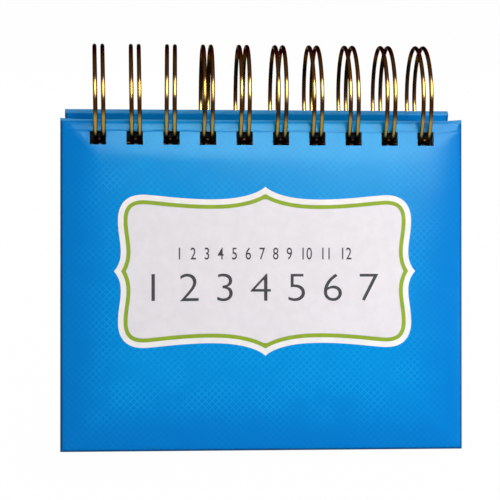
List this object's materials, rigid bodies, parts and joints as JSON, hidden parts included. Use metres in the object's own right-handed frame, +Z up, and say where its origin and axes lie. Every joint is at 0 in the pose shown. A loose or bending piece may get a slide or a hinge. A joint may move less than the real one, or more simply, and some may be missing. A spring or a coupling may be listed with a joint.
{
  "type": "perpetual flip calendar",
  "caption": "Desk flip calendar with a padded blue hard cover and month packs of leaves on a gold twin-loop wire, standing on a folding board easel.",
  "frame": {"origin": "on the table, under the middle of the calendar's width and of its depth", "axes": "+Z up, +X to the right when facing the cover, the cover faces -Y"},
  "size_m": [0.1524, 0.0914, 0.1523],
  "materials": {
    "printed_wrap": "laminated blue print with a fine lattice",
    "greyboard": "plain greyboard",
    "foam": "thin soft padding",
    "endpaper": "uncoated",
    "label_paper": "off-white with a green border line",
    "joint_cloth": "book cloth",
    "gold_wire": "bright antique gold",
    "leaf_paper": "uncoated white"
  },
  "bodies": {
    "stand": {"support_greyboard": "greyboard", "support_wrap": "printed_wrap", "support_lining": "endpaper", "base_greyboard": "greyboard", "base_wrap": "printed_wrap", "front_joint_cloth": "joint_cloth"},
    "wire": {"twin_loop_wire": "gold_wire"},
    "front_cover": {"cover_wrap": "printed_wrap", "cover_pad": "foam", "cover_greyboard": "greyboard", "cover_endpaper": "endpaper", "cover_label": "label_paper"},
    "rear_leg": {"rear_greyboard": "greyboard", "rear_wrap": "printed_wrap", "rear_lining": "endpaper", "rear_joint_cloth": "joint_cloth"},
    "january": {"january_leaves": "leaf_paper"},
    "february": {"february_leaves": "leaf_paper"},
    "march": {"march_leaves": "leaf_paper"},
    "april": {"april_leaves": "leaf_paper"},
    "may": {"may_leaves": "leaf_paper"},
    "june": {"june_leaves": "leaf_paper"},
    "july": {"july_leaves": "leaf_paper"},
    "august": {"august_leaves": "leaf_paper"},
    "september": {"september_leaves": "leaf_paper"},
    "october": {"october_leaves": "leaf_paper"},
    "november": {"november_leaves": "leaf_paper"},
    "december": {"december_leaves": "leaf_paper"}
  },
  "joints": [
    {"name": "cover_turn", "type": "hinge", "parent": "stand", "child": "wire", "pos_m": [0, -0.00374, 0.13172], "axis": [-1, 0, 0], "range_deg": [0, 257]},
    {"name": "cover_swing", "type": "hinge", "parent": "wire", "child": "front_cover", "pos_m": [0, -0.01836, 0.11836], "axis": [-1, 0, 0], "range_deg": [0, 66.5]},
    {"name": "stand_fold", "type": "hinge", "parent": "stand", "child": "rear_leg", "pos_m": [0, -0.00374, 0.13172], "axis": [-1, 0, 0], "range_deg": [0, 22], "deforming": ["base_greyboard", "base_wrap"]},
    {"name": "january_turn", "type": "hinge", "parent": "stand", "child": "january", "pos_m": [0, -0.00374, 0.13172], "axis": [-1, 0, 0], "range_deg": [0, 206.1]},
    {"name": "february_turn", "type": "hinge", "parent": "stand", "child": "february", "pos_m": [0, -0.00374, 0.13172], "axis": [-1, 0, 0], "range_deg": [0, 195.3]},
    {"name": "march_turn", "type": "hinge", "parent": "stand", "child": "march", "pos_m": [0, -0.00374, 0.13172], "axis": [-1, 0, 0], "range_deg": [0, 184.5]},
    {"name": "april_turn", "type": "hinge", "parent": "stand", "child": "april", "pos_m": [0, -0.00374, 0.13172], "axis": [-1, 0, 0], "range_deg": [0, 173.7]},
    {"name": "may_turn", "type": "hinge", "parent": "stand", "child": "may", "pos_m": [0, -0.00374, 0.13172], "axis": [-1, 0, 0], "range_deg": [0, 162.9]},
    {"name": "june_turn", "type": "hinge", "parent": "stand", "child": "june", "pos_m": [0, -0.00374, 0.13172], "axis": [-1, 0, 0], "range_deg": [0, 152.1]},
    {"name": "july_turn", "type": "hinge", "parent": "stand", "child": "july", "pos_m": [0, -0.00374, 0.13172], "axis": [-1, 0, 0], "range_deg": [0, 141.3]},
    {"name": "august_turn", "type": "hinge", "parent": "stand", "child": "august", "pos_m": [0, -0.00374, 0.13172], "axis": [-1, 0, 0], "range_deg": [0, 130.5]},
    {"name": "september_turn", "type": "hinge", "parent": "stand", "child": "september", "pos_m": [0, -0.00374, 0.13172], "axis": [-1, 0, 0], "range_deg": [0, 119.7]},
    {"name": "october_turn", "type": "hinge", "parent": "stand", "child": "october", "pos_m": [0, -0.00374, 0.13172], "axis": [-1, 0, 0], "range_deg": [0, 109]},
    {"name": "november_turn", "type": "hinge", "parent": "stand", "child": "november", "pos_m": [0, -0.00374, 0.13172], "axis": [-1, 0, 0], "range_deg": [0, 98.2]},
    {"name": "december_turn", "type": "hinge", "parent": "stand", "child": "december", "pos_m": [0, -0.00374, 0.13172], "axis": [-1, 0, 0], "range_deg": [0, 87.4]}
  ],
  "couplings": [
    {"joint": "cover_swing", "follows": "cover_turn", "ratio": 0.257},
    {"joint": "january_turn", "follows": "cover_turn", "ratio": 0.8},
    {"joint": "february_turn", "follows": "cover_turn", "ratio": 0.758},
    {"joint": "march_turn", "follows": "cover_turn", "ratio": 0.716},
    {"joint": "april_turn", "follows": "cover_turn", "ratio": 0.674},
    {"joint": "may_turn", "follows": "cover_turn", "ratio": 0.632},
    {"joint": "june_turn", "follows": "cover_turn", "ratio": 0.59},
    {"joint": "july_turn", "follows": "cover_turn", "ratio": 0.548},
    {"joint": "august_turn", "follows": "cover_turn", "ratio": 0.506},
    {"joint": "september_turn", "follows": "cover_turn", "ratio": 0.464},
    {"joint": "october_turn", "follows": "cover_turn", "ratio": 0.422},
    {"joint": "november_turn", "follows": "cover_turn", "ratio": 0.38},
    {"joint": "december_turn", "follows": "cover_turn", "ratio": 0.338}
  ]
}
